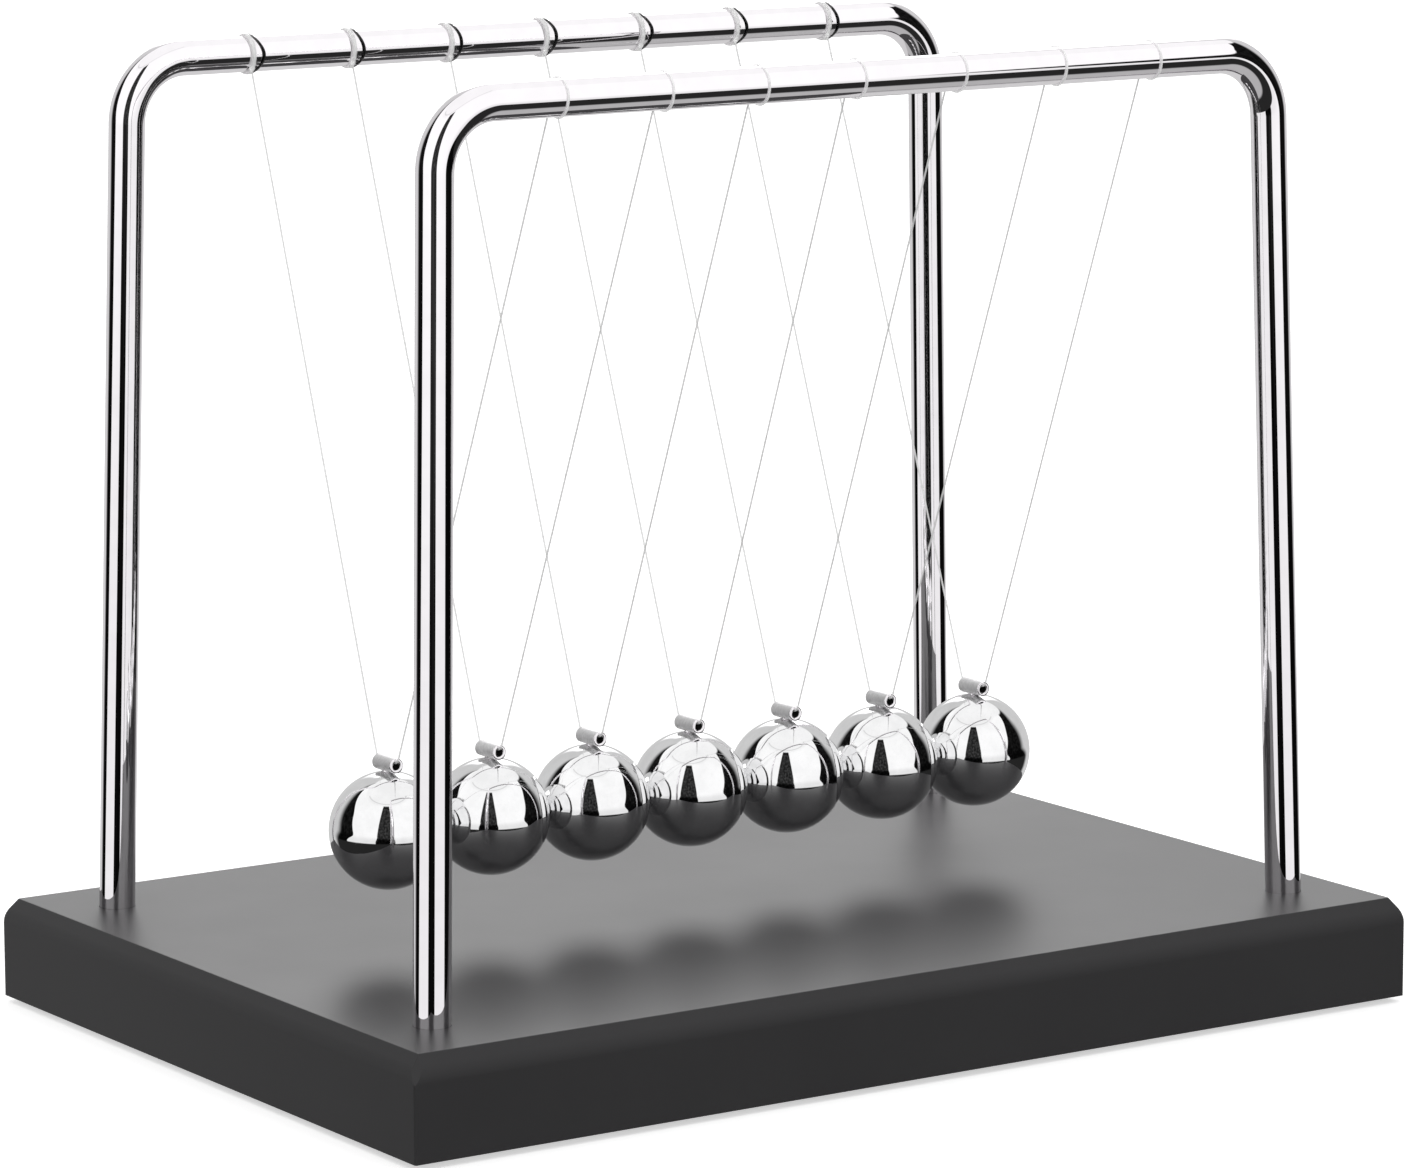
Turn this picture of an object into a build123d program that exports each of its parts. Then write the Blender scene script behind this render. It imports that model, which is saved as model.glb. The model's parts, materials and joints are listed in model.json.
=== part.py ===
from build123d import *
import os
from math import atan2, cos, degrees, radians, sin, sqrt, tan

# A Newton's cradle: seven polished balls hang in a row from two bent rods on a board.
# Millimetres. +X runs along the row, -Y is the front, +Z is up.
# The origin is the middle of the footprint, on the surface that the pads stand on.

# Driving dimensions
ball_count = 7
ball_diameter = 22.0
ball_gap = 0.2  # play between neighbours at rest
row_offset = -2.8  # the row is tied a little to one side of the middle
ball_clearance = 10.6  # top of the board to the underside of a ball

board_length = 220.0
board_width = 152.0
board_thickness = 19.0
board_bevel_width = 2.2
board_bevel_height = 3.2
board_bevel_blend = 5.0  # where the bevel runs into the side
board_arris_blend = 0.3  # where the bevel meets the top
board_corner_blend = 0.4
worn_corner = (-1, -1)  # the one corner whose point is rubbed off to a facet
worn_height = 5.2  # below the top, where the facet runs out on the upright edge

rod_diameter = 6.8
bend_radius = 12.0  # to the middle of the rod
bar_half_length = 91.0  # to where bar and leg would meet if they weren't bent
bar_offset = 54.8  # middle of the board to the middle of each bar
bar_height = 160.4  # top of the board to the middle of the bar
leg_spread_x = 4.2  # the legs stand wider at the board than at the bar
leg_spread_y = 2.7
socket_depth = 12.0
socket_gap = 0.05  # on the radius

screw_diameter = 3.0
screw_hole_gap = 0.1  # on the radius, in the board
tapped_gap = 0.02  # on the radius, in the rod
screw_grip = 6.0  # thread inside the rod
tapped_depth = 8.0
board_web = 4.0  # board left between a socket and the screw's recess
head_diameter = 5.6
head_height = 1.8
recess_diameter = 8.4
drive_diameter = 2.4
drive_depth = 1.1
washer_diameter = 7.0
washer_thickness = 0.5

pad_diameter = 14.0
pad_thickness = 1.2
pad_inset = 16.0  # edge of the board to the middle of a pad

tube_length = 6.4
tube_diameter = 2.9
tube_bore = 1.5
tube_end_chamfer = 0.12
weld_diameter = 1.8
tube_lift = 0.05  # gap under the tube beside its weld

line_diameter = 0.35
line_bend = 0.9  # radius of the bend at each mouth of the tube
line_play = 0.05  # between the line and the roof of the bore
loop_play = 0.02  # between a loop and its rod
knot_diameter = 1.0
knot_angle = radians(50)  # from straight under the bar, towards the row
knot_play = 0.06  # between a knot and the end of the line that swings from it
# How far each hand-tied loop sits along its bar from the ball it holds, balls 1 to 7
front_loop_shifts = [3.3, 3.0, 1.0, -0.3, -0.3, 0.0, -0.4]
back_loop_shifts = [3.0, 2.7, 2.2, 1.4, 1.2, 1.3, 1.2]

# Sizes that follow
ball_radius = ball_diameter / 2
ball_pitch = ball_diameter + ball_gap
rod_radius = rod_diameter / 2
line_radius = line_diameter / 2
board_top = pad_thickness + board_thickness
bar_z = board_top + bar_height
ball_z = board_top + ball_clearance + ball_radius
row = [row_offset + ball_pitch * (i - (ball_count - 1) / 2) for i in range(ball_count)]

knot_reach = rod_radius + line_radius + knot_diameter / 2
knot_y = bar_offset - knot_reach * sin(knot_angle)
knot_z = bar_z - knot_reach * cos(knot_angle)

weld_z = ball_z + sqrt(ball_radius**2 - (weld_diameter / 2) ** 2)
tube_z = ball_z + ball_radius + tube_lift + tube_diameter / 2
line_z = tube_z + tube_bore / 2 - line_play - line_radius


def leg_plane(side_x, side_y):
    """Plane across a leg where it enters the board, with its normal up the leg."""
    foot = Vector(
        side_x * (bar_half_length + leg_spread_x),
        side_y * (bar_offset + leg_spread_y),
        board_top,
    )
    corner = Vector(side_x * bar_half_length, side_y * bar_offset, bar_z)
    return Plane(origin=foot, x_dir=(0, 1, 0), z_dir=corner - foot)


corners = [(side_x, side_y) for side_x in (-1, 1) for side_y in (-1, 1)]
leg_planes = {corner: leg_plane(*corner) for corner in corners}
recess_floor = socket_depth + board_web


def corner_facet(side_x, side_y):
    """Plane from a corner of the top face down to the upright edge, with its normal outward."""
    foot = (side_x * board_length / 2, side_y * board_width / 2, board_top - worn_height)
    outward = (side_x * worn_height, side_y * worn_height, 2 * board_bevel_width)
    return Plane(origin=foot, x_dir=(side_x, -side_y, 0), z_dir=outward)


# Board: mitred bevels and one worn corner; a socket, a screw hole and a recess for each leg
with BuildPart() as base:
    with BuildSketch(Plane.XY.offset(pad_thickness)):
        Rectangle(board_length, board_width)
    extrude(amount=board_thickness - board_bevel_height)
    with BuildSketch(Plane.XY.offset(board_top - board_bevel_height)):
        Rectangle(board_length, board_width)
    extrude(amount=board_bevel_height, taper=degrees(atan2(board_bevel_width, board_bevel_height)))
    levels = base.edges().group_by(Axis.Z)
    fillet(levels[-3], board_bevel_blend)
    fillet(base.edges().group_by(Axis.Z)[-1], board_arris_blend)
    fillet(base.edges().filter_by(Axis.Z), board_corner_blend)
    split(bisect_by=corner_facet(*worn_corner), keep=Keep.BOTTOM)
    for plane in leg_planes.values():
        with BuildSketch(plane.offset(-socket_depth)):
            Circle(rod_radius + socket_gap)
        extrude(amount=2 * socket_depth, mode=Mode.SUBTRACT)
        with BuildSketch(plane.offset(-recess_floor)):
            Circle(screw_diameter / 2 + screw_hole_gap)
        extrude(amount=recess_floor, mode=Mode.SUBTRACT)
        with BuildSketch(plane.offset(-recess_floor)):
            Circle(recess_diameter / 2)
        extrude(amount=-board_thickness, mode=Mode.SUBTRACT)


# Pads under the corners of the board
with BuildPart() as rubber_pads:
    with BuildSketch():
        with GridLocations(board_length - 2 * pad_inset, board_width - 2 * pad_inset, 2, 2):
            Circle(pad_diameter / 2)
    extrude(amount=pad_thickness)


def bent_rod(side_y):
    """One frame: a rod bent twice, with a tapped hole up each leg."""
    left = leg_planes[(-1, side_y)]
    right = leg_planes[(1, side_y)]
    ends = [left.offset(-socket_depth).origin, right.offset(-socket_depth).origin]
    bends = [(-bar_half_length, side_y * bar_offset, bar_z), (bar_half_length, side_y * bar_offset, bar_z)]
    with BuildPart() as rod:
        with BuildLine() as path:
            FilletPolyline(ends[0], *bends, ends[1], radius=bend_radius)
        with BuildSketch(left.offset(-socket_depth)):
            Circle(rod_radius)
        sweep(path=path.line)
        for plane in (left, right):
            with BuildSketch(plane.offset(-socket_depth)):
                Circle(screw_diameter / 2 + tapped_gap)
            extrude(amount=tapped_depth, mode=Mode.SUBTRACT)
    return rod


front_frame = bent_rod(-1)
back_frame = bent_rod(1)


# Leg screws, each with its washer, up through the board into the rods
with BuildPart() as leg_screws:
    for plane in leg_planes.values():
        head_face = plane.offset(-recess_floor - washer_thickness)
        with BuildSketch(head_face):
            Circle(head_diameter / 2)
        extrude(amount=-head_height)
        with BuildSketch(head_face):
            Circle(screw_diameter / 2)
        extrude(amount=washer_thickness + board_web + screw_grip)
        with BuildSketch(head_face.offset(-head_height)):
            RegularPolygon(drive_diameter / 2, 6)
        extrude(amount=drive_depth, mode=Mode.SUBTRACT)

with BuildPart() as leg_washers:
    for plane in leg_planes.values():
        with BuildSketch(plane.offset(-recess_floor)):
            Circle(washer_diameter / 2)
            Circle(screw_diameter / 2 + screw_hole_gap, mode=Mode.SUBTRACT)
        extrude(amount=-washer_thickness)


def ball_at(x):
    """A ball with the small flat that its tube is welded to."""
    with BuildPart() as ball:
        with Locations((x, 0, ball_z)):
            Sphere(ball_radius)
        split(bisect_by=Plane.XY.offset(weld_z), keep=Keep.BOTTOM)
    return ball


def tube_at(x):
    """A tube that lies across the row on its weld, and carries the line."""
    with BuildPart() as tube:
        with Locations((x, 0, tube_z)):
            Cylinder(tube_diameter / 2, tube_length, rotation=(90, 0, 0))
        chamfer(tube.edges().filter_by(GeomType.CIRCLE), tube_end_chamfer)
        with Locations((x, 0, weld_z)):
            Cylinder(weld_diameter / 2, tube_z - weld_z, align=(Align.CENTER, Align.CENTER, Align.MIN))
        with Locations((x, 0, tube_z)):
            Cylinder(tube_bore / 2, tube_length, rotation=(90, 0, 0), mode=Mode.SUBTRACT)
    return tube


def line_at(x, front_shift, back_shift):
    """A line from knot to knot through the tube: a run along its bore, and a bend at each mouth."""
    slope = atan2(knot_z - line_z, knot_y - tube_length / 2)
    corner_y = tube_length / 2 + line_bend * tan(slope / 2)
    corners = [Vector(x, -corner_y, line_z), Vector(x, corner_y, line_z)]
    knots = [Vector(x + front_shift, -knot_y, knot_z), Vector(x + back_shift, knot_y, knot_z)]
    end_gap = knot_diameter / 2 + knot_play
    ends = [knot + (corner - knot).normalized() * end_gap for knot, corner in zip(knots, corners)]
    with BuildPart() as line:
        with BuildLine() as path:
            FilletPolyline(ends[0], *corners, ends[1], radius=line_bend)
        with BuildSketch(Plane(origin=path.line @ 0, z_dir=path.line % 0)):
            Circle(line_radius)
        sweep(path=path.line)
    return line


def tie_at(x, side_y):
    """A loop of line round the bar, with the knot that closes it."""
    with BuildPart() as tie:
        with Locations(Location((x, side_y * bar_offset, bar_z), (0, 90, 0))):
            Torus(rod_radius + loop_play + line_radius, line_radius)
        with Locations((x, side_y * knot_y, knot_z)):
            Sphere(knot_diameter / 2)
    return tie


pieces = {
    "base": base,
    "rubber_pads": rubber_pads,
    "front_frame": front_frame,
    "back_frame": back_frame,
    "leg_screws": leg_screws,
    "leg_washers": leg_washers,
}
hung = zip(row, front_loop_shifts, back_loop_shifts)
for number, (x, front_shift, back_shift) in enumerate(hung, start=1):
    pieces[f"ball_{number}"] = ball_at(x)
    pieces[f"tube_{number}"] = tube_at(x)
    pieces[f"line_{number}"] = line_at(x, front_shift, back_shift)
    pieces[f"front_tie_{number}"] = tie_at(x + front_shift, -1)
    pieces[f"back_tie_{number}"] = tie_at(x + back_shift, 1)

os.makedirs("parts", exist_ok=True)
for name, piece in pieces.items():
    piece.part.label = name
    export_step(piece.part, f"parts/{name}.step")
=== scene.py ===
import json
from math import atan2, cos, degrees, pi, radians, sin, tan

import bmesh
import bpy
from mathutils import Matrix, Vector

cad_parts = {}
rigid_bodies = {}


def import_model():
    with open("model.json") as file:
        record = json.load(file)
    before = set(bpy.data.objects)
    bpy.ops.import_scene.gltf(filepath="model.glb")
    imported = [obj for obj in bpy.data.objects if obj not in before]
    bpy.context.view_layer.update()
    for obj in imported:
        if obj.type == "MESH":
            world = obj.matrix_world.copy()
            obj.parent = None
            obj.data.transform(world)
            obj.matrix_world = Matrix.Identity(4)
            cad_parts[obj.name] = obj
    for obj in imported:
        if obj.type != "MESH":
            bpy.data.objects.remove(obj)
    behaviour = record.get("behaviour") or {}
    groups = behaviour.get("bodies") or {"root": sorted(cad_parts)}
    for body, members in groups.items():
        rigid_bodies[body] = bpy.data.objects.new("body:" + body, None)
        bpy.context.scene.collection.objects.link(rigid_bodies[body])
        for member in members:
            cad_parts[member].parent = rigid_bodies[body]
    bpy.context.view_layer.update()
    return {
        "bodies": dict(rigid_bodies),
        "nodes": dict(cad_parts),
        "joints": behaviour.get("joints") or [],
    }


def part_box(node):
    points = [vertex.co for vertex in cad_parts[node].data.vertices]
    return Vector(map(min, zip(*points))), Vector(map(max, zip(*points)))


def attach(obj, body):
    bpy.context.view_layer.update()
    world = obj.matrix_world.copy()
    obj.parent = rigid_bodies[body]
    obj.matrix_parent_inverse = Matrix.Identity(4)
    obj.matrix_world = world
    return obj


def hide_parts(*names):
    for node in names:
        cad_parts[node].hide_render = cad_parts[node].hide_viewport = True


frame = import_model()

# Looks for a Newton's cradle: seven polished balls hang from two bent chrome rods on a black board.
# Metres. +X runs along the row, -Y is the front, +Z is up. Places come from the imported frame.

# Sizes that the frame's boxes don't give
ROD_RADIUS = 0.0034
BEND_RADIUS = 0.012  # to the middle of the rod
BAR_HALF_LENGTH = 0.091  # to where bar and leg would meet if they weren't bent
BALL_RADIUS = 0.011
TUBE_RADIUS = 0.00145
BORE_RADIUS = 0.00075
TUBE_ROUNDING = 0.00014
WELD_RADIUS = 0.0009
WELD_SKIRT = 0.0007  # how much wider the weld is on the ball than under the tube
WELD_SINK = 0.00004  # how far the weld's foot goes into the ball
WELD_LUMP = 0.00009  # how uneven the bead is round its rim
WELD_RIPPLE = 0.00006  # and how much finer ripples add to that
LINE_DIAMETER = 0.00035
LINE_LEAD = 0.0021  # six diameters of line, kept straight on each side of a bend
KNOT_RADIUS = 0.0005
LOOP_PLAY = 0.00002  # between a loop and its bar
LOOP_START = -40  # degrees up the bar's inner side, where a loop leaves its knot
LOOP_PITCH = 0.95 * LINE_DIAMETER  # from one turn to the next, so that the turns press together
LOOP_WOBBLE = 0.0001  # how far a strand strays along its bar
FRONT_LOOP_TURNS = 1
BACK_LOOP_TURNS = 3
BACK_LOOP_LEAN = 0.0004  # the back loops sit this far to the right of their knots
GLUE_RISE = 0.0006  # the drop's height over the bar
GLUE_ROOT = 0.00004  # how far its underside goes into the bar
GLUE_LEFT = 0.0008  # from the loop's middle to the drop's left edge
GLUE_RIGHT = 0.0010  # from the loop's middle to its right edge, at the drop's two ends
GLUE_BULGE = 0.0014  # how much further the right edge reaches at its widest
GLUE_LEFT_RIPPLE = 0.00008
GLUE_RIGHT_RIPPLE = 0.00012
GLUE_REACH = 100  # degrees round the bar, each way from the middle of the drop
GLUE_TILT = 4  # degrees up the bar's inner side, to the middle of the drop
GLUE_ROWS = 40
GLUE_COLUMNS = 32
GLUE_PAINTED_REFLECTION_COLUMN = 25  # where the steep right edge begins, which is painted dark as a painted reflection

# The camera that the photograph was taken with
CAMERA_PLACE = (-0.6402, -0.9601, 0.2792)
CAMERA_TURN = (1.40062, 0.00324, -0.58898)
CAMERA_LENS = 158.55
SENSOR_WIDTH = 36.0

# The studio: brightnesses
SOFTBOX = 1.06
SOFTBOX_FOOT = 0.88
CEILING = 1.0
SEAM = 0.72
BACKDROP = 0.64
PATCH = 3.6  # the bright patch on the backdrop, which gives the board its sheen
BLACK = 0.003
HAZE = 0.033  # in the gap, above the horizon
FLANK_HAZE = 0.008
BENEATH = 0.02
FLOOR_GLOW = 0.45

# The studio: angles in degrees, round from the camera and up from the horizon
TOP = 95  # past straight up
BOTTOM = -95  # past straight down
PATCH_SIDE = (160, 176)  # each way round, from where the patch begins to where it is full
PATCH_HEIGHT = (16, 40)
BOX_FOOT = -15.4
FOOT_RISE = 0.0002  # how much higher the foot is for each degree round, squared
GAP_TOP = 52.5
FLANK_HEIGHT = (-20, 66)
CEILING_EDGE = 58
CEILING_DIP = 15  # how much lower the ceiling comes, straight behind and to the right
CEILING_TURN = 1.2  # how strongly the dip favours the right
SEAM_HEIGHT = (61.5, 63)
SEAM_SIDE = (-90, 95)
FLOOR_EDGE = (-45, -39)  # where the pale floor ends, far below

# The upright edges, from left to right: where each meets the horizon, how far it leans for each degree up,
# how much more it leans for each degree above LEAN_FROM, squared, and how far it flares out at its foot
FLANK_LEFT = (-107, -0.3, -0.022, -10)
BOX_LEFT = (-68.3, -0.42, -0.054, -16)
GAP_LEFT = (-18.5, 0.11, 0, -3.5)
GAP_RIGHT = (13.6, -0.125, 0, 2.5)
BOX_RIGHT = (69.5, 0.5, 0.035, 9)
FLANK_RIGHT = (118, 0.05, 0.057, 18)
LEAN_FROM = 25
FLARE = (-13, -2.5)  # the heights between which the flare fades out

# One body for each ball, in the row's order, and the height of the knots that it swings from
BODIES = sorted(name for name in frame["bodies"] if name.startswith("swing_"))
KNOT_HEIGHTS = {joint["child"]: joint["pos_m"][2] for joint in frame["joints"]}


# Node helpers


def new_material(name, **sockets):
    """A Principled material with these socket values, and its tree, shader and object coordinates."""
    material = bpy.data.materials.new(name)
    material.use_nodes = True
    tree = material.node_tree
    shader = tree.nodes["Principled BSDF"]
    for socket, value in sockets.items():
        shader.inputs[socket.replace("_", " ")].default_value = value
    place = tree.nodes.new("ShaderNodeTexCoord").outputs["Object"]
    return material, tree, shader, place


def stretched(tree, place, scale):
    """Coordinates scaled along each axis."""
    node = tree.nodes.new("ShaderNodeMapping")
    node.inputs["Scale"].default_value = scale
    tree.links.new(place, node.inputs["Vector"])
    return node.outputs["Vector"]


def noise(tree, place, scale, detail=3.0, roughness=0.5):
    """A noise's factor; scale is in features a metre."""
    node = tree.nodes.new("ShaderNodeTexNoise")
    node.inputs["Scale"].default_value = scale
    node.inputs["Detail"].default_value = detail
    node.inputs["Roughness"].default_value = roughness
    tree.links.new(place, node.inputs["Vector"])
    return node.outputs["Fac"]


def remap(tree, value, low, high, to_low, to_high, smooth=True):
    """value from low..high to to_low..to_high, clamped."""
    node = tree.nodes.new("ShaderNodeMapRange")
    node.interpolation_type = "SMOOTHSTEP" if smooth else "LINEAR"
    node.inputs["From Min"].default_value = low
    node.inputs["From Max"].default_value = high
    node.inputs["To Min"].default_value = to_low
    node.inputs["To Max"].default_value = to_high
    tree.links.new(value, node.inputs["Value"])
    return node.outputs["Result"]


def calculate(tree, operation, *values):
    """One Math node on sockets and numbers."""
    node = tree.nodes.new("ShaderNodeMath")
    node.operation = operation
    for socket, value in zip(node.inputs, values):
        if isinstance(value, bpy.types.NodeSocket):
            tree.links.new(value, socket)
        else:
            socket.default_value = value
    return node.outputs["Value"]


def colours(tree, value, dark, light):
    """A colour from dark to light as value goes from 0 to 1."""
    node = tree.nodes.new("ShaderNodeMix")
    node.data_type = "RGBA"
    node.inputs["A"].default_value = (*dark, 1)
    node.inputs["B"].default_value = (*light, 1)
    tree.links.new(value, node.inputs["Factor"])
    return node.outputs["Result"]


def bump(tree, shader, height, strength, distance):
    """Lets height raise and sink the shader's surface."""
    node = tree.nodes.new("ShaderNodeBump")
    node.inputs["Strength"].default_value = strength
    node.inputs["Distance"].default_value = distance
    tree.links.new(height, node.inputs["Height"])
    tree.links.new(node.outputs["Normal"], shader.inputs["Normal"])


# Materials


def black_lacquer():
    """Satin black lacquer on the board, with a fine orange peel and a little haze."""
    material, tree, shader, place = new_material("black_lacquer", IOR=1.32)
    haze = noise(tree, place, 14, 5, 0.6)
    peel = noise(tree, place, 900, 2)
    tone = colours(tree, remap(tree, haze, 0.3, 0.7, 0, 1), (0.043, 0.042, 0.044), (0.049, 0.048, 0.050))
    tree.links.new(tone, shader.inputs["Base Color"])
    tree.links.new(remap(tree, haze, 0.3, 0.7, 0.36, 0.40), shader.inputs["Roughness"])
    bump(tree, shader, peel, 0.10, 0.00004)
    return material


def chrome():
    """Bright chrome plate on bent rod: a trace of waviness from the bending, and faint wipe marks."""
    material, tree, shader, place = new_material("chrome_plate", Metallic=1.0)
    wave = noise(tree, place, 90, 2)
    wipe = noise(tree, place, 300, 3)
    tone = colours(tree, remap(tree, wipe, 0.3, 0.7, 0, 1), (0.94, 0.915, 0.94), (0.97, 0.945, 0.97))
    tree.links.new(tone, shader.inputs["Base Color"])
    tree.links.new(remap(tree, wipe, 0.35, 0.75, 0.01, 0.03), shader.inputs["Roughness"])
    bump(tree, shader, wave, 0.03, 0.0002)
    return material


def polished_steel():
    """Mirror-polished ball: a slight haze in patches and hair-fine scratches."""
    material, tree, shader, place = new_material("polished_steel", Metallic=1.0)
    patch = noise(tree, place, 260, 4, 0.6)
    scratch = noise(tree, stretched(tree, place, (1, 9, 3)), 1500, 2)
    tone = colours(tree, remap(tree, patch, 0.3, 0.7, 0, 1), (0.86, 0.86, 0.865), (0.93, 0.93, 0.935))
    tree.links.new(tone, shader.inputs["Base Color"])
    hazy = remap(tree, patch, 0.4, 0.8, 0.03, 0.07)
    scored = remap(tree, scratch, 0.62, 0.8, 0, 0.05)
    tree.links.new(calculate(tree, "ADD", hazy, scored), shader.inputs["Roughness"])
    return material


def nickel():
    """Dull nickel on the cut tubes, with turning marks round them."""
    material, tree, shader, place = new_material("dull_nickel", Metallic=0.5)
    grain = noise(tree, stretched(tree, place, (1, 7, 1)), 1300, 4, 0.6)
    tone = colours(tree, remap(tree, grain, 0.3, 0.7, 0, 1), (0.68, 0.675, 0.68), (0.90, 0.895, 0.90))
    tree.links.new(tone, shader.inputs["Base Color"])
    tree.links.new(remap(tree, grain, 0.3, 0.7, 0.36, 0.50), shader.inputs["Roughness"])
    bump(tree, shader, grain, 0.25, 0.00003)
    return material


def painted_bore_shade():
    """The unplated inside of a tube's bore, painted near black as painted shade in the narrow bore."""
    material, tree, shader, place = new_material("painted_bore_shade")
    grain = noise(tree, place, 3000, 2)
    tone = colours(tree, grain, (0.004, 0.004, 0.004), (0.02, 0.02, 0.02))
    tree.links.new(tone, shader.inputs["Base Color"])
    tree.links.new(remap(tree, grain, 0.3, 0.7, 0.5, 0.8), shader.inputs["Roughness"])
    return material


def nylon(name, opacity, painted_glow):
    """Clear nylon, a little milky: it lets part of the light straight through, and a white emission is a
    painted glow that stands in for light passing through it.
    """
    material, tree, shader, place = new_material(name, IOR=1.53, Alpha=opacity, Emission_Strength=painted_glow)
    shader.inputs["Emission Color"].default_value = (1, 1, 1, 1)
    milk = noise(tree, place, 900, 3)
    tone = colours(tree, remap(tree, milk, 0.3, 0.7, 0, 1), (0.90, 0.90, 0.90), (0.97, 0.97, 0.97))
    tree.links.new(tone, shader.inputs["Base Color"])
    tree.links.new(remap(tree, milk, 0.3, 0.7, 0.3, 0.45), shader.inputs["Roughness"])
    return material


def clear_glue():
    """The drop of clear glue that holds each loop on its bar."""
    material, tree, shader, place = new_material("clear_glue", IOR=1.45, Transmission_Weight=1.0)
    ripple = noise(tree, place, 1200, 2)
    tone = colours(tree, ripple, (0.93, 0.93, 0.92), (1.0, 1.0, 1.0))
    tree.links.new(tone, shader.inputs["Base Color"])
    tree.links.new(remap(tree, ripple, 0.3, 0.7, 0.01, 0.05), shader.inputs["Roughness"])
    bump(tree, shader, ripple, 0.15, 0.00008)
    return material


def glue_painted_reflection():
    """The steep edge of a glue drop, painted near black: a painted reflection of the dark beside the
    softboxes.
    """
    material, tree, shader, place = new_material("glue_painted_reflection", IOR=1.45)
    ripple = noise(tree, place, 1200, 2)
    tone = colours(tree, ripple, (0.002, 0.002, 0.002), (0.02, 0.02, 0.02))
    tree.links.new(tone, shader.inputs["Base Color"])
    tree.links.new(remap(tree, ripple, 0.3, 0.7, 0.3, 0.45), shader.inputs["Roughness"])
    return material


def rubber():
    """Matt black rubber of the pads."""
    material, tree, shader, place = new_material("pad_rubber", IOR=1.5)
    grain = noise(tree, place, 2200, 3)
    tone = colours(tree, grain, (0.012, 0.012, 0.012), (0.035, 0.035, 0.034))
    tree.links.new(tone, shader.inputs["Base Color"])
    tree.links.new(remap(tree, grain, 0.3, 0.7, 0.65, 0.85), shader.inputs["Roughness"])
    bump(tree, shader, grain, 0.4, 0.00006)
    return material


def zinc():
    """Zinc plate on the screws and washers, in soft mottled patches."""
    material, tree, shader, place = new_material("zinc_plate", Metallic=1.0)
    patch = noise(tree, place, 1500, 4, 0.6)
    tone = colours(tree, remap(tree, patch, 0.3, 0.7, 0, 1), (0.45, 0.46, 0.48), (0.72, 0.73, 0.74))
    tree.links.new(tone, shader.inputs["Base Color"])
    tree.links.new(remap(tree, patch, 0.3, 0.7, 0.25, 0.45), shader.inputs["Roughness"])
    bump(tree, shader, patch, 0.2, 0.00003)
    return material


# Mesh helpers


def finished(bm, name, materials, body, slot, *nodes):
    """Turns a bmesh into a smooth piece that rides on a body and stands for these CAD nodes."""
    bmesh.ops.recalc_face_normals(bm, faces=bm.faces)
    mesh = bpy.data.meshes.new(name)
    bm.to_mesh(mesh)
    bm.free()
    mesh.shade_smooth()
    piece = bpy.data.objects.new(name, mesh)
    bpy.context.scene.collection.objects.link(piece)
    for material in materials:
        mesh.materials.append(material)
    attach(piece, body)
    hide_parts(*nodes)
    return piece


def bridge(bm, first, second, closed=True, material=0):
    """Quads between two rings of the same number of vertices."""
    count = len(first)
    for i in range(count if closed else count - 1):
        j = (i + 1) % count
        face = bm.faces.new((first[i], first[j], second[j], second[i]))
        face.material_index = material


def tube_along(bm, points, radius, sides):
    """A round tube with closed ends along a line of points, with rings that don't twist."""
    count = len(points)
    ways = [(points[min(i + 1, count - 1)] - points[max(i - 1, 0)]).normalized() for i in range(count)]
    across = ways[0].orthogonal().normalized()
    rings = []
    for point, way in zip(points, ways):
        across = (across - way * across.dot(way)).normalized()
        other = way.cross(across)
        turns = [2 * pi * k / sides for k in range(sides)]
        rings.append([bm.verts.new(point + radius * (across * cos(t) + other * sin(t))) for t in turns])
    for first, second in zip(rings, rings[1:]):
        bridge(bm, first, second)
    for ring in (rings[0], rings[-1]):
        bm.faces.new(ring)


def turned(bm, profile, origin, axis, sides, material=lambda k: 0):
    """A profile of (radius, height) points turned about an axis; a radius of 0 is a pole.
    material gives the material index of the faces between rings k and k + 1."""
    side = axis.orthogonal().normalized()
    other = axis.cross(side)
    rings = []
    for radius, height in profile:
        middle = origin + axis * height
        if radius == 0:
            rings.append([bm.verts.new(middle)])
            continue
        turns = [2 * pi * k / sides for k in range(sides)]
        rings.append([bm.verts.new(middle + radius * (side * cos(t) + other * sin(t))) for t in turns])
    for k, (first, second) in enumerate(zip(rings, rings[1:])):
        if len(first) == 1 or len(second) == 1:
            pole, ring = (first[0], second) if len(first) == 1 else (second[0], first)
            for i in range(sides):
                face = bm.faces.new((pole, ring[i], ring[(i + 1) % sides]))
                face.material_index = material(k)
        else:
            bridge(bm, first, second, material=material(k))
    return rings


# Pieces


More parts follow.
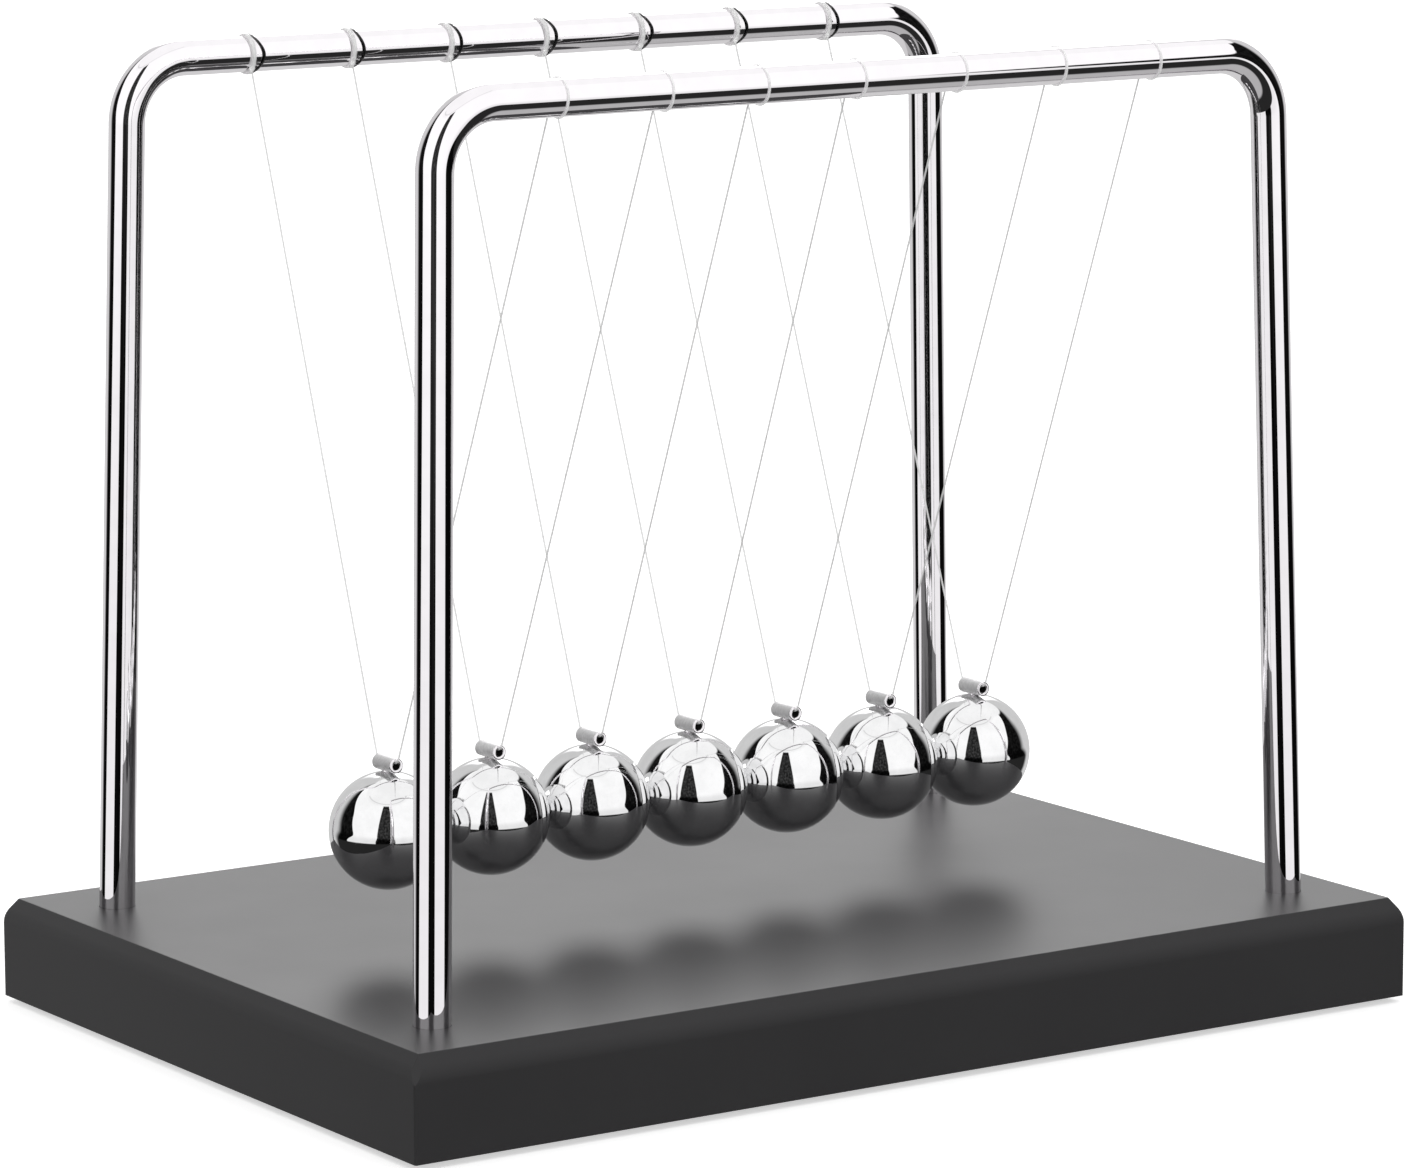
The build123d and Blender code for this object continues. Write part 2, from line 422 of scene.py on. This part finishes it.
def rod_line(side):
    """Points along the middle of a frame's rod, from one foot to the other, with its two bends."""
    low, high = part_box("front_frame" if side < 0 else "back_frame")
    bar_y = high.y - ROD_RADIUS if side < 0 else low.y + ROD_RADIUS
    foot_y = low.y + ROD_RADIUS if side < 0 else high.y - ROD_RADIUS
    bar_z = high.z - ROD_RADIUS
    feet = [Vector((low.x + ROD_RADIUS, foot_y, low.z)), Vector((high.x - ROD_RADIUS, foot_y, low.z))]
    corners = [Vector((sign * BAR_HALF_LENGTH, bar_y, bar_z)) for sign in (-1, 1)]
    leg_steps, bend_steps, bar_steps = 24, 40, 24
    bends = []
    for before, corner, after in ((feet[0], corners[0], corners[1]), (corners[0], corners[1], feet[1])):
        inward, outward = (before - corner).normalized(), (after - corner).normalized()
        half = inward.angle(outward) / 2
        middle = corner + (inward + outward).normalized() * BEND_RADIUS / sin(half)
        start, end = (corner + way * BEND_RADIUS / tan(half) for way in (inward, outward))
        sweep_axis = (start - middle).cross(end - middle).normalized()
        sweep = (start - middle).angle(end - middle)
        turns = [Matrix.Rotation(sweep * k / bend_steps, 3, sweep_axis) for k in range(bend_steps + 1)]
        bends.append([middle + turn @ (start - middle) for turn in turns])
    left_leg = [feet[0].lerp(bends[0][0], k / leg_steps) for k in range(leg_steps)]
    bar = [bends[0][-1].lerp(bends[1][0], k / bar_steps) for k in range(1, bar_steps)]
    right_leg = [bends[1][-1].lerp(feet[1], k / leg_steps) for k in range(1, leg_steps + 1)]
    return left_leg + bends[0] + bar + bends[1] + right_leg


def bent_frame(name, side, plate):
    """One frame: the bent rod, plated all over."""
    bm = bmesh.new()
    tube_along(bm, rod_line(side), ROD_RADIUS, sides=64)
    return finished(bm, name, [plate], "stand", "chrome", name)


def ball_centre(number):
    """The middle of a ball, worked out from its box's lowest point, because its top is cut flat."""
    low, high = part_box(f"ball_{number}")
    return Vector(((low.x + high.x) / 2, 0, low.z + BALL_RADIUS))


def ball(number, body, steel):
    """A ball with its small flat under the weld."""
    flat = pi / 2 - WELD_RADIUS / BALL_RADIUS
    rings = 96
    angles = [-pi / 2 + (flat + pi / 2) * k / rings for k in range(rings + 1)]
    profile = [(BALL_RADIUS * cos(angle), BALL_RADIUS * sin(angle)) for angle in angles]
    profile[0] = (0, -BALL_RADIUS)
    profile.append((0, profile[-1][1]))
    bm = bmesh.new()
    turned(bm, profile, ball_centre(number), Vector((0, 0, 1)), sides=128)
    return finished(bm, f"polished_ball_{number}", [steel], body, "polished_steel", f"ball_{number}")


def tube_profile(half_length):
    """Outline of a cut tube's wall, from one end of the bore, round the outside, to the other end."""
    outer, inner, soft = TUBE_RADIUS, BORE_RADIUS, TUBE_ROUNDING
    turns = [pi / 2 * k / 4 for k in range(5)]
    end = half_length - soft
    rim = [(outer - soft + soft * cos(t), end + soft * sin(t)) for t in turns]
    mouth = [(inner + soft - soft * sin(t), end + soft * cos(t)) for t in turns]
    upper = [(outer, 0), *rim, *mouth]
    lower = [(radius, -height) for radius, height in reversed(upper)]
    return lower + upper[1:]


def weld_bead(bm, number, tube_middle, material):
    """The lumpy bead under a tube: a skirt on the ball that narrows and ends in the tube's wall."""
    centre = ball_centre(number)
    reach = WELD_RADIUS + WELD_SKIRT
    on_ball = (BALL_RADIUS**2 - reach**2) ** 0.5 - WELD_SINK
    in_wall = tube_middle.z - centre.z - TUBE_RADIUS * 0.75
    steps = 10
    skirt = []
    for k in range(steps + 1):
        part = k / steps
        radius = WELD_RADIUS + WELD_SKIRT * (1 - part) ** 2.2
        skirt.append((radius, on_ball + (in_wall - on_ball) * part))
    bead = [(0, skirt[0][1]), *skirt, (0, skirt[-1][1])]
    rings = turned(bm, bead, centre, Vector((0, 0, 1)), sides=48, material=lambda k: material)
    for k, ring in enumerate(rings[1:-1]):
        for i, vertex in enumerate(ring):
            turn = 2 * pi * i / len(ring)
            lump = WELD_LUMP * sin(3 * turn + 1.7 * number) + WELD_RIPPLE * sin(5 * turn + 0.9 * k)
            away = Vector((vertex.co.x - centre.x, vertex.co.y, 0))
            vertex.co += away.normalized() * lump


def tube(number, body, dull, shade_paint, bright):
    """The cut tube across the top of a ball, with bright ends, on its weld."""
    low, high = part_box(f"tube_{number}")
    middle = Vector(((low.x + high.x) / 2, 0, high.z - TUBE_RADIUS))
    profile = tube_profile((high.y - low.y) / 2)
    halfway = len(profile) // 2
    wall = (halfway - 1, halfway)
    on_wall, in_bore, on_end = range(3)

    def material(k):
        return on_wall if k in wall else on_end

    bm = bmesh.new()
    rings = turned(bm, profile, middle, Vector((0, 1, 0)), sides=64, material=material)
    # The bore's wall takes the near-black material: painted shade.
    bridge(bm, rings[-1], rings[0], material=in_bore)
    weld_bead(bm, number, middle, on_end)
    return finished(bm, f"line_tube_{number}", [dull, shade_paint, bright], body, "nickel", f"tube_{number}")


def loop_middle(side_name, side, number):
    """The middle of a loop, on its bar's axis."""
    low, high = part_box(f"{side_name}_tie_{number}")
    reach = (high.z - low.z) / 2
    across = low.y + reach if side < 0 else high.y - reach
    return Vector(((low.x + high.x) / 2, across, (low.z + high.z) / 2))


def half_line(side_name, side, number, body):
    """One half of a line's points, from inside its tube to the middle of its knot."""
    low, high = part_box(f"line_{number}")
    tube_low, tube_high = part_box(f"tube_{number}")
    mouth = side * (tube_high.y + LINE_DIAMETER)
    corner = Vector(((tube_low.x + tube_high.x) / 2, mouth, low.z + LINE_DIAMETER / 2))
    end = Vector((loop_middle(side_name, side, number).x, low.y if side < 0 else high.y, high.z))
    knot = corner + (end - corner) * (KNOT_HEIGHTS[body] - corner.z) / (end.z - corner.z)
    lead = corner + (knot - corner).normalized() * LINE_LEAD
    return [corner - Vector((0, side * LINE_LEAD, 0)), corner, lead, knot]


def line_route(number, body):
    """The line's points, from the front knot through its tube to the back knot."""
    return half_line("front", -1, number, body)[::-1] + half_line("back", 1, number, body)


def line(number, body, strand):
    """The taut line from knot to knot, on one smooth curve."""
    route = line_route(number, body)
    curve = bpy.data.curves.new(f"nylon_line_{number}", "CURVE")
    curve.dimensions = "3D"
    spline = curve.splines.new("NURBS")
    spline.points.add(len(route) - 1)
    for point, place in zip(spline.points, route):
        point.co = (*place, 1)
    spline.order_u = 3
    spline.use_endpoint_u = True
    spline.resolution_u = 12
    curve.bevel_depth = LINE_DIAMETER / 2
    curve.bevel_resolution = 4
    curve.use_fill_caps = True
    curve.materials.append(strand)
    piece = bpy.data.objects.new(f"nylon_line_{number}", curve)
    bpy.context.scene.collection.objects.link(piece)
    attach(piece, body)
    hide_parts(f"line_{number}")
    length = sum((b - a).length for a, b in zip(route, route[1:]))
    tuple(route[0])
    return piece


def loop_line(middle, inward, turns, phase):
    """A strand round the bar, once or more, that starts and ends at the knot."""
    radius = ROD_RADIUS + LOOP_PLAY + LINE_DIAMETER / 2
    steps = 72 * turns
    points = []
    for k in range(steps + 1):
        part = k / steps
        angle = radians(LOOP_START + 360 * turns * part)
        along = LOOP_PITCH * (turns - 1) * (part - 0.5)
        shift = along + LOOP_WOBBLE * sin(angle + phase) * sin(pi * part)
        points.append(middle + Vector((shift, inward * radius * cos(angle), radius * sin(angle))))
    return points


def knot_line(place, phase):
    """A small overhand knot as a trefoil."""
    size = (KNOT_RADIUS - LINE_DIAMETER / 2) / 3 * 1.1
    steps = 60
    points = []
    for k in range(steps + 1):
        t = 2 * pi * k / steps
        x = sin(t + phase) + 2 * sin(2 * t + phase)
        y = 1.2 * sin(3 * t)
        z = cos(t + phase) - 2 * cos(2 * t + phase)
        points.append(place + size * Vector((x, y, z)))
    return points


def glue_drop(bm, middle, inward, phase, clear, edge):
    """A drop over the strands on the bar's inner face: it bulges to the right and ends steeply.
    clear and edge are the material indices of the drop and of its steep edge, which is painted near black
    as a painted reflection."""
    top, bottom = [], []
    for i in range(GLUE_COLUMNS + 1):
        u = 2 * i / GLUE_COLUMNS - 1
        upper, lower = [], []
        for j in range(GLUE_ROWS + 1):
            v = 2 * j / GLUE_ROWS - 1
            angle = radians(GLUE_REACH * v + GLUE_TILT)
            right = GLUE_RIGHT + GLUE_BULGE * cos(angle) ** 2 + GLUE_RIGHT_RIPPLE * sin(5 * v + phase)
            left = -GLUE_LEFT - GLUE_LEFT_RIPPLE * sin(4 * v + 2 * phase)
            x = left + (right - left) * (u + 1) / 2
            height = GLUE_RISE * ((1 - abs(u) ** 3) * (1 - abs(v) ** 6)) ** 0.55
            for ring, level in ((upper, ROD_RADIUS + 0.00001 + height), (lower, ROD_RADIUS - GLUE_ROOT)):
                place = Vector((x, inward * level * cos(angle), level * sin(angle)))
                ring.append(bm.verts.new(middle + place))
        top.append(upper)
        bottom.append(lower)
    # The right-hand columns take the edge material, painted near black as a painted reflection of the dark
    # beside the softboxes.
    for sheet in (top, bottom):
        for i, (first, second) in enumerate(zip(sheet, sheet[1:])):
            bridge(bm, first, second, closed=False, material=edge if i >= GLUE_PAINTED_REFLECTION_COLUMN else clear)
    bridge(bm, outline(top), outline(bottom), material=clear)


def outline(sheet):
    """The vertices round the edge of a grid, in order."""
    ends = [row[-1] for row in sheet[1:]]
    starts = [row[0] for row in sheet[-2:0:-1]]
    return sheet[0] + ends + sheet[-1][-2::-1] + starts


def tie(side_name, side, number, body, materials):
    """A loop round the bar with its knot and, at the back, the glue that holds it.
    materials are the nylon, which has a painted glow, the clear glue and the glue's edge, which is painted
    near black as a painted reflection."""
    at_back = side > 0
    middle = loop_middle(side_name, side, number) + Vector((BACK_LOOP_LEAN if at_back else 0, 0, 0))
    knot = half_line(side_name, side, number, body)[-1]
    turns = BACK_LOOP_TURNS if at_back else FRONT_LOOP_TURNS
    phase = 1.3 * number + side
    bm = bmesh.new()
    tube_along(bm, loop_line(middle, -side, turns, phase), LINE_DIAMETER / 2, sides=10)
    tube_along(bm, knot_line(knot, phase), LINE_DIAMETER / 2, sides=10)
    if at_back:
        glue_drop(bm, middle, -side, phase, clear=1, edge=2)
    name, node = f"{side_name}_loop_{number}", f"{side_name}_tie_{number}"
    return finished(bm, name, materials, "stand", "nylon", node)


def dress(nodes, material):
    """Gives carried-over CAD nodes their material."""
    for name in nodes:
        for slot in frame["nodes"][name].material_slots:
            slot.material = material


# The studio


def camera():
    """The camera, where the photograph was taken from."""
    data = bpy.data.cameras.new("camera")
    data.sensor_fit = "HORIZONTAL"
    data.sensor_width = SENSOR_WIDTH
    data.lens = CAMERA_LENS
    data.clip_start = 0.01
    viewer = bpy.data.objects.new("camera", data)
    viewer.location = CAMERA_PLACE
    viewer.rotation_euler = CAMERA_TURN
    bpy.context.scene.collection.objects.link(viewer)
    bpy.context.scene.camera = viewer


def band(tree, value, low, high, soft):
    """1 where value is between low and high, with soft edges; each end can be a socket."""
    above = calculate(tree, "SUBTRACT", value, low)
    below = calculate(tree, "SUBTRACT", high, value)
    return calculate(
        tree,
        "MULTIPLY",
        remap(tree, above, -soft, soft, 0, 1),
        remap(tree, below, -soft, soft, 0, 1),
    )


def blend_values(tree, mask, under, over):
    """under where mask is 0 and over where it is 1."""
    node = tree.nodes.new("ShaderNodeMix")
    for name, value in (("Factor", mask), ("A", under), ("B", over)):
        if isinstance(value, bpy.types.NodeSocket):
            tree.links.new(value, node.inputs[name])
        else:
            node.inputs[name].default_value = value
    return node.outputs["Result"]


def product(tree, *values):
    """Sockets and numbers multiplied together."""
    result = values[0]
    for value in values[1:]:
        result = calculate(tree, "MULTIPLY", result, value)
    return result


def directions(tree):
    """Each direction of the world, with its azimuth and height in degrees, and its azimuth in radians.
    The azimuth is counted from the camera, positive to its right, and the height from the horizon."""
    turn = tree.nodes.new("ShaderNodeVectorRotate")
    turn.rotation_type = "Z_AXIS"
    turn.inputs["Angle"].default_value = -atan2(CAMERA_PLACE[1], CAMERA_PLACE[0])
    way = tree.nodes.new("ShaderNodeTexCoord").outputs["Generated"]
    tree.links.new(way, turn.inputs["Vector"])
    split = tree.nodes.new("ShaderNodeSeparateXYZ")
    tree.links.new(turn.outputs["Vector"], split.inputs["Vector"])
    round_way = calculate(tree, "ARCTAN2", split.outputs["Y"], split.outputs["X"])
    azimuth = product(tree, round_way, degrees(1))
    height = product(tree, calculate(tree, "ARCSINE", split.outputs["Z"]), degrees(1))
    return way, azimuth, height, round_way


def side_edges(tree, height):
    """The azimuths of the upright edges. They lean above the horizon, and flare out below it."""
    raised = calculate(tree, "MAXIMUM", height, 0)
    above = calculate(tree, "MAXIMUM", calculate(tree, "SUBTRACT", height, LEAN_FROM), 0)
    high_up = product(tree, above, above)
    flare = remap(tree, height, *FLARE, 1, 0)
    edges = []
    for start, slope, more, flared in (FLANK_LEFT, BOX_LEFT, GAP_LEFT, GAP_RIGHT, BOX_RIGHT, FLANK_RIGHT):
        straight = calculate(tree, "MULTIPLY_ADD", raised, slope, start)
        leaning = calculate(tree, "MULTIPLY_ADD", high_up, more, straight)
        edges.append(calculate(tree, "MULTIPLY_ADD", flare, flared, leaning))
    return edges


def studio():
    """A white world for the camera, and a studio of softboxes for everything else."""
    world = bpy.data.worlds.new("studio")
    bpy.context.scene.world = world
    world.use_nodes = True
    tree = world.node_tree
    sky = tree.nodes["Background"]
    way, azimuth, height, round_way = directions(tree)
    flank_left, box_left, gap_left, gap_right, box_right, flank_right = side_edges(tree, height)
    foot = calculate(tree, "MULTIPLY_ADD", product(tree, azimuth, azimuth), FOOT_RISE, BOX_FOOT)
    speckle = remap(tree, noise(tree, way, 16, 4, 0.7), 0.40, 0.66, 0.3, 1.9)

    # A grey backdrop, with a bright patch straight behind
    off_axis = calculate(tree, "ABSOLUTE", azimuth)
    patch = product(
        tree, remap(tree, off_axis, *PATCH_SIDE, 0, 1), band(tree, height, *PATCH_HEIGHT, soft=3)
    )
    light = blend_values(tree, patch, BACKDROP, PATCH)

    # Dark flanks beside the softboxes, with a soft outer edge
    flank = product(
        tree,
        band(tree, azimuth, flank_left, flank_right, soft=9),
        band(tree, height, *FLANK_HEIGHT, soft=2),
    )
    side_murk = product(tree, speckle, remap(tree, height, -9, 4, BLACK, FLANK_HAZE))
    light = blend_values(tree, flank, light, side_murk)

    # Two softboxes with a black gap between them
    upright = band(tree, height, foot, TOP, soft=0.8)
    white = remap(tree, height, -10, 0, SOFTBOX_FOOT, SOFTBOX)
    for low, high in ((box_left, gap_left), (gap_right, box_right)):
        box = product(tree, band(tree, azimuth, low, high, soft=0.7), upright)
        light = blend_values(tree, box, light, white)
    gap = product(
        tree,
        band(tree, azimuth, gap_left, gap_right, soft=0.5),
        band(tree, height, foot, GAP_TOP, soft=1.2),
    )
    murk = product(tree, speckle, remap(tree, height, -9, -2, BLACK, HAZE))
    light = blend_values(tree, gap, light, murk)

    # A white ceiling that comes down lower behind on the right, with one seam
    across, along = calculate(tree, "SINE", round_way), calculate(tree, "COSINE", round_way)
    turned_right = calculate(tree, "MULTIPLY_ADD", across, CEILING_TURN, 1)
    behind = product(tree, along, -1, turned_right)
    dip = remap(tree, behind, 0.3, 1.3, 0, CEILING_DIP, smooth=False)
    edge = calculate(tree, "SUBTRACT", CEILING_EDGE, dip)
    light = blend_values(tree, band(tree, height, edge, TOP, soft=1.5), light, CEILING)
    seam = product(
        tree, band(tree, height, *SEAM_HEIGHT, soft=0.8), band(tree, azimuth, *SEAM_SIDE, soft=3)
    )
    light = blend_values(tree, seam, light, SEAM)

    # Beneath: dark in front and beside, then a pale floor; grey behind
    ground = remap(tree, height, *FLOOR_EDGE, FLOOR_GLOW, BENEATH)
    aside = band(tree, azimuth, flank_left, flank_right, soft=7)
    ground = blend_values(tree, aside, BACKDROP, ground)
    light = blend_values(tree, band(tree, height, BOTTOM, foot, soft=0.8), light, ground)
    tree.links.new(light, sky.inputs["Color"])

    page = tree.nodes.new("ShaderNodeBackground")
    page.inputs["Color"].default_value = (1, 1, 1, 1)
    page.inputs["Strength"].default_value = 1.0
    seen = tree.nodes.new("ShaderNodeLightPath").outputs["Is Camera Ray"]
    mix = tree.nodes.new("ShaderNodeMixShader")
    tree.links.new(seen, mix.inputs["Fac"])
    tree.links.new(sky.outputs["Background"], mix.inputs[1])
    tree.links.new(page.outputs["Background"], mix.inputs[2])
    tree.links.new(mix.outputs["Shader"], tree.nodes["World Output"].inputs["Surface"])


def floor():
    """A plain pale floor."""
    bm = bmesh.new()
    bmesh.ops.create_grid(bm, x_segments=8, y_segments=8, size=12)
    mesh = bpy.data.meshes.new("floor")
    bm.to_mesh(mesh)
    bm.free()
    ground = bpy.data.objects.new("floor", mesh)
    material, tree, shader, place = new_material("pale_floor", Roughness=0.9, Emission_Strength=0.55)
    shader.inputs["Specular IOR Level"].default_value = 0.0
    shader.inputs["Emission Color"].default_value = (1, 1, 1, 1)
    tone = colours(tree, noise(tree, place, 3), (0.88, 0.88, 0.88), (0.90, 0.90, 0.90))
    tree.links.new(tone, shader.inputs["Base Color"])
    mesh.materials.append(material)
    ground.visible_glossy = False
    ground.visible_diffuse = False
    ground.visible_transmission = False
    bpy.context.scene.collection.objects.link(ground)


def build():
    """Every piece of the cradle, in its materials."""
    plate, steel, dull, shade_paint = chrome(), polished_steel(), nickel(), painted_bore_shade()
    # Both nylon materials carry a painted glow: a white emission for light passing through the strands.
    strand = nylon("nylon_line", opacity=0.66, painted_glow=0.1)
    # The glue's edge material is painted near black: a painted reflection.
    tied = [nylon("nylon_loop", opacity=0.6, painted_glow=0.22), clear_glue(), glue_painted_reflection()]
    dress(["base"], black_lacquer())
    dress(["rubber_pads"], rubber())
    dress(["leg_screws", "leg_washers"], zinc())
    bent_frame("front_frame", -1, plate)
    bent_frame("back_frame", 1, plate)
    for number, body in enumerate(BODIES, start=1):
        ball(number, body, steel)
        tube(number, body, dull, shade_paint, plate)
        line(number, body, strand)
        tie("front", -1, number, body, tied)
        tie("back", 1, number, body, tied)


bpy.context.scene.view_settings.view_transform = "Standard"
camera()
studio()
floor()
build()
